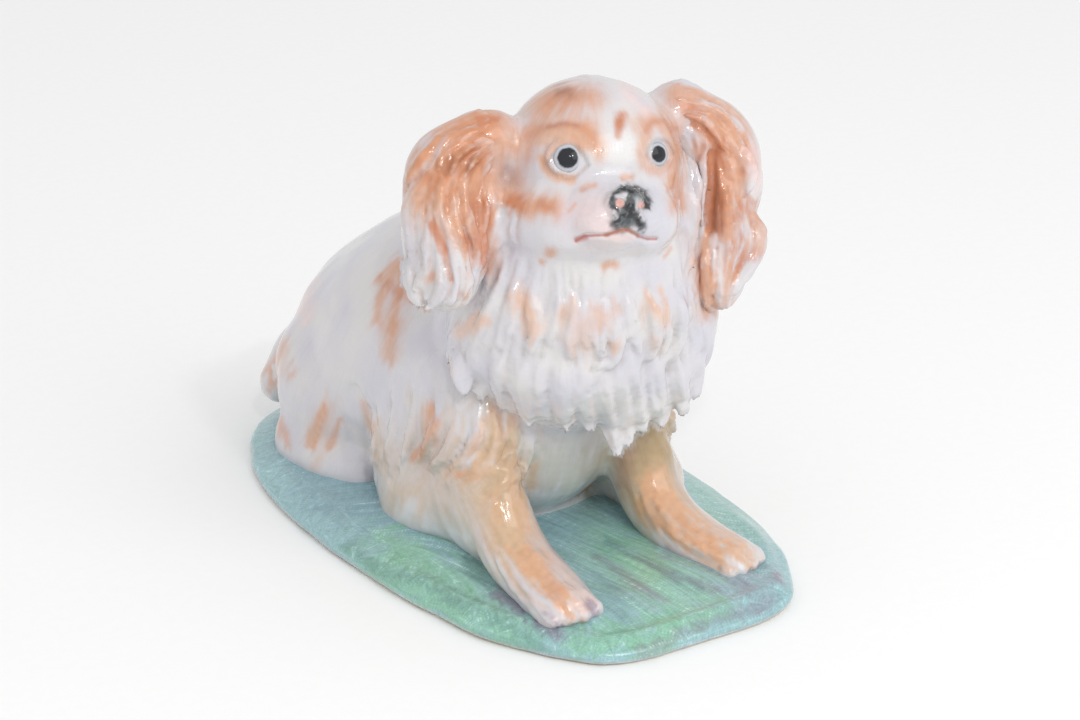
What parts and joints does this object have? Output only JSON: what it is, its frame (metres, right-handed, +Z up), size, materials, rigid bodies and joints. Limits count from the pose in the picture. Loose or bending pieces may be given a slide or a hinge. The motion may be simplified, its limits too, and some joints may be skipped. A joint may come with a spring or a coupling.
{
  "type": "porcelain dog figurine",
  "caption": "Glazed porcelain spaniel lying on a painted mound base, head turned to one side, with long wavy ears, a ruff and a bib of modelled hair.",
  "frame": {"origin": "middle of the base's underside", "axes": "+Z up, -Y the way the dog faces, +X the dog's left side"},
  "size_m": [0.1058, 0.182, 0.1318],
  "materials": {
    "white_glaze": "clear gloss glaze over white porcelain with fawn markings",
    "fawn_glaze": "clear gloss glaze over brushed fawn enamel",
    "green_glaze": "clear gloss glaze over brushed green and turquoise enamel"
  },
  "bodies": {
    "root": {"base_mound": "green_glaze", "torso_right_half": "white_glaze", "torso_left_half": "white_glaze", "head_face_half": "white_glaze", "head_back_half": "white_glaze", "right_ear": "fawn_glaze", "left_ear": "fawn_glaze", "neck_ruff": "white_glaze", "chest_bib": "white_glaze", "right_foreleg": "fawn_glaze", "left_foreleg": "fawn_glaze", "right_hind_leg": "white_glaze", "left_hind_leg": "white_glaze", "tail": "white_glaze"}
  },
  "joints": []
}
